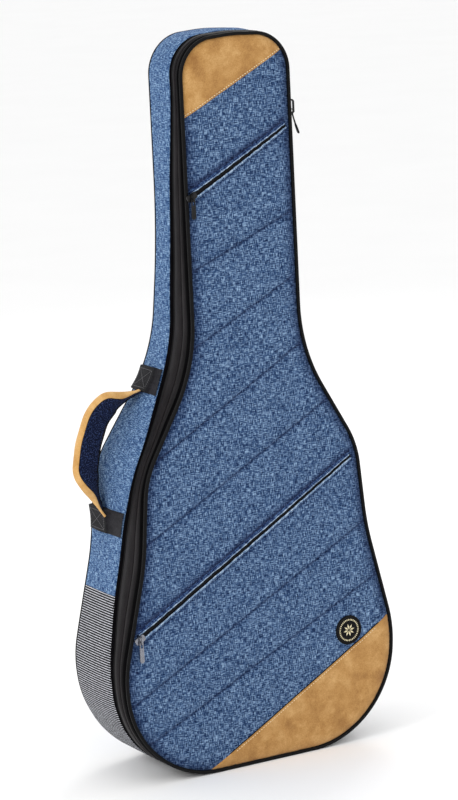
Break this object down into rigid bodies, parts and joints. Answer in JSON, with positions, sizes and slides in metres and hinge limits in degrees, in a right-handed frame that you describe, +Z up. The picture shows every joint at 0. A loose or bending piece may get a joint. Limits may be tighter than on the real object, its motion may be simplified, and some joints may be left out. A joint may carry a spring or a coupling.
{
  "type": "padded gig bag",
  "caption": "Upright padded bag for a full-size acoustic guitar: hinged zip lid, slanted pockets, folding side handle, back harness.",
  "frame": {"origin": "centre of the flat bottom the bag stands on", "axes": "+Z up along the bag from body to head, +X to the right of someone facing the front panel, -Y out of the front panel"},
  "size_m": [0.4696, 0.1826, 1.0946],
  "materials": {
    "denim_front": "melange blue woven fabric, matt",
    "denim_side": "melange light blue woven fabric, matt",
    "guard_ribbed": "fine grey and black ribbed fabric",
    "foam": "closed-cell foam sheet",
    "lining_plush": "brushed plush lining",
    "black_binding": "woven black tape",
    "zip_coil": "nylon coil",
    "piping_black": "coated piping",
    "webbing_black": "polyester webbing",
    "strap_pad": "padded mesh",
    "suede_tan": "brushed suede",
    "denim_navy": "navy woven fabric",
    "denim_welt": "melange blue woven fabric, folded",
    "pouch_lining": "thin lining cloth",
    "buckle_plastic": "moulded acetal",
    "badge_black": "soft moulded badge with pale ring",
    "slider_black": "black lacquer on zinc",
    "slider_gunmetal": "gunmetal plate"
  },
  "bodies": {
    "base": {"back_cover_fabric": "denim_side", "side_cover_fabric": "denim_side", "bottom_guard_fabric": "guard_ribbed", "side_foam": "foam", "back_foam": "foam", "base_lining": "lining_plush", "base_binding": "black_binding", "base_zip_tape": "black_binding", "base_zip_coil": "zip_coil", "hinge_bead": "black_binding", "base_hinge_leaf": "black_binding", "back_piping": "piping_black", "handle_tab_upper": "webbing_black", "handle_tab_lower": "webbing_black", "neck_rest": "lining_plush", "neck_strap_hook": "webbing_black", "neck_strap_loop": "webbing_black", "tail_pad": "foam", "head_pad": "foam", "haul_loop": "webbing_black", "shoulder_strap_left": "strap_pad", "shoulder_strap_right": "strap_pad", "strap_anchor_upper": "suede_tan", "strap_anchor_lower": "suede_tan", "strap_webbing_left": "webbing_black", "strap_webbing_right": "webbing_black", "strap_buckle_left": "buckle_plastic", "strap_buckle_right": "buckle_plastic"},
    "lid": {"lid_cover_fabric": "denim_front", "lid_foam": "foam", "lid_lining": "lining_plush", "lid_piping": "piping_black", "lid_zip_tape": "black_binding", "lid_zip_coil": "zip_coil", "lid_hinge_leaf": "black_binding", "suede_head_patch": "suede_tan", "suede_bottom_patch": "suede_tan", "badge": "badge_black", "upper_pocket_zip": "black_binding", "upper_pocket_welts": "denim_welt", "upper_pocket_pouch": "pouch_lining", "lower_pocket_zip": "black_binding", "lower_pocket_welts": "denim_welt", "lower_pocket_pouch": "pouch_lining"},
    "carry_handle": {"handle_suede": "suede_tan", "handle_foam": "foam", "handle_lining": "denim_navy", "handle_end_webbing": "webbing_black"},
    "main_slider_upper": {"main_slider_upper": "slider_black"},
    "main_slider_lower": {"main_slider_lower": "slider_black"},
    "main_pull_upper": {"main_pull_upper": "slider_black"},
    "main_pull_lower": {"main_pull_lower": "slider_black"},
    "upper_pocket_slider": {"upper_pocket_slider": "slider_black"},
    "upper_pocket_pull": {"upper_pocket_pull": "slider_black"},
    "lower_pocket_slider": {"lower_pocket_slider": "slider_gunmetal"},
    "lower_pocket_pull": {"lower_pocket_pull": "slider_gunmetal"}
  },
  "joints": [
    {"name": "lid_hinge", "type": "hinge", "parent": "base", "child": "lid", "pos_m": [0.2338, -0.058, 0.166], "axis": [0, 0, 1], "range_deg": [0, 165]},
    {"name": "handle_swing", "type": "hinge", "parent": "base", "child": "carry_handle", "pos_m": [-0.132, 0.028, 0.569], "axis": [-0.3628, 0, -0.9318], "range_deg": [-75, 15]},
    {"name": "main_zip_upper_slide", "type": "slide", "parent": "base", "child": "main_slider_upper", "axis": [0, 0, 1], "range_m": [0, 0.04]},
    {"name": "main_zip_lower_slide", "type": "slide", "parent": "base", "child": "main_slider_lower", "axis": [0, 0, -1], "range_m": [0, 0.2]},
    {"name": "main_pull_upper_swing", "type": "hinge", "parent": "main_slider_upper", "child": "main_pull_upper", "pos_m": [0.1039, -0.062, 0.9674], "axis": [0, -1, 0], "range_deg": [0, 140]},
    {"name": "main_pull_lower_swing", "type": "hinge", "parent": "main_slider_lower", "child": "main_pull_lower", "pos_m": [0.0999, -0.054, 0.9394], "axis": [0, -1, 0], "range_deg": [0, 140]},
    {"name": "upper_pocket_slide", "type": "slide", "parent": "lid", "child": "upper_pocket_slider", "axis": [0.8839, 0, 0.4676], "range_m": [0, 0.165]},
    {"name": "upper_pocket_pull_swing", "type": "hinge", "parent": "upper_pocket_slider", "child": "upper_pocket_pull", "pos_m": [-0.08377, -0.0883, 0.85986], "axis": [-1, 0, 0], "range_deg": [0, 150]},
    {"name": "lower_pocket_slide", "type": "slide", "parent": "lid", "child": "lower_pocket_slider", "axis": [0.8668, 0, 0.4986], "range_m": [0, 0.41]},
    {"name": "lower_pocket_pull_swing", "type": "hinge", "parent": "lower_pocket_slider", "child": "lower_pocket_pull", "pos_m": [-0.20717, -0.0883, 0.22455], "axis": [-1, 0, 0], "range_deg": [0, 150]}
  ]
}
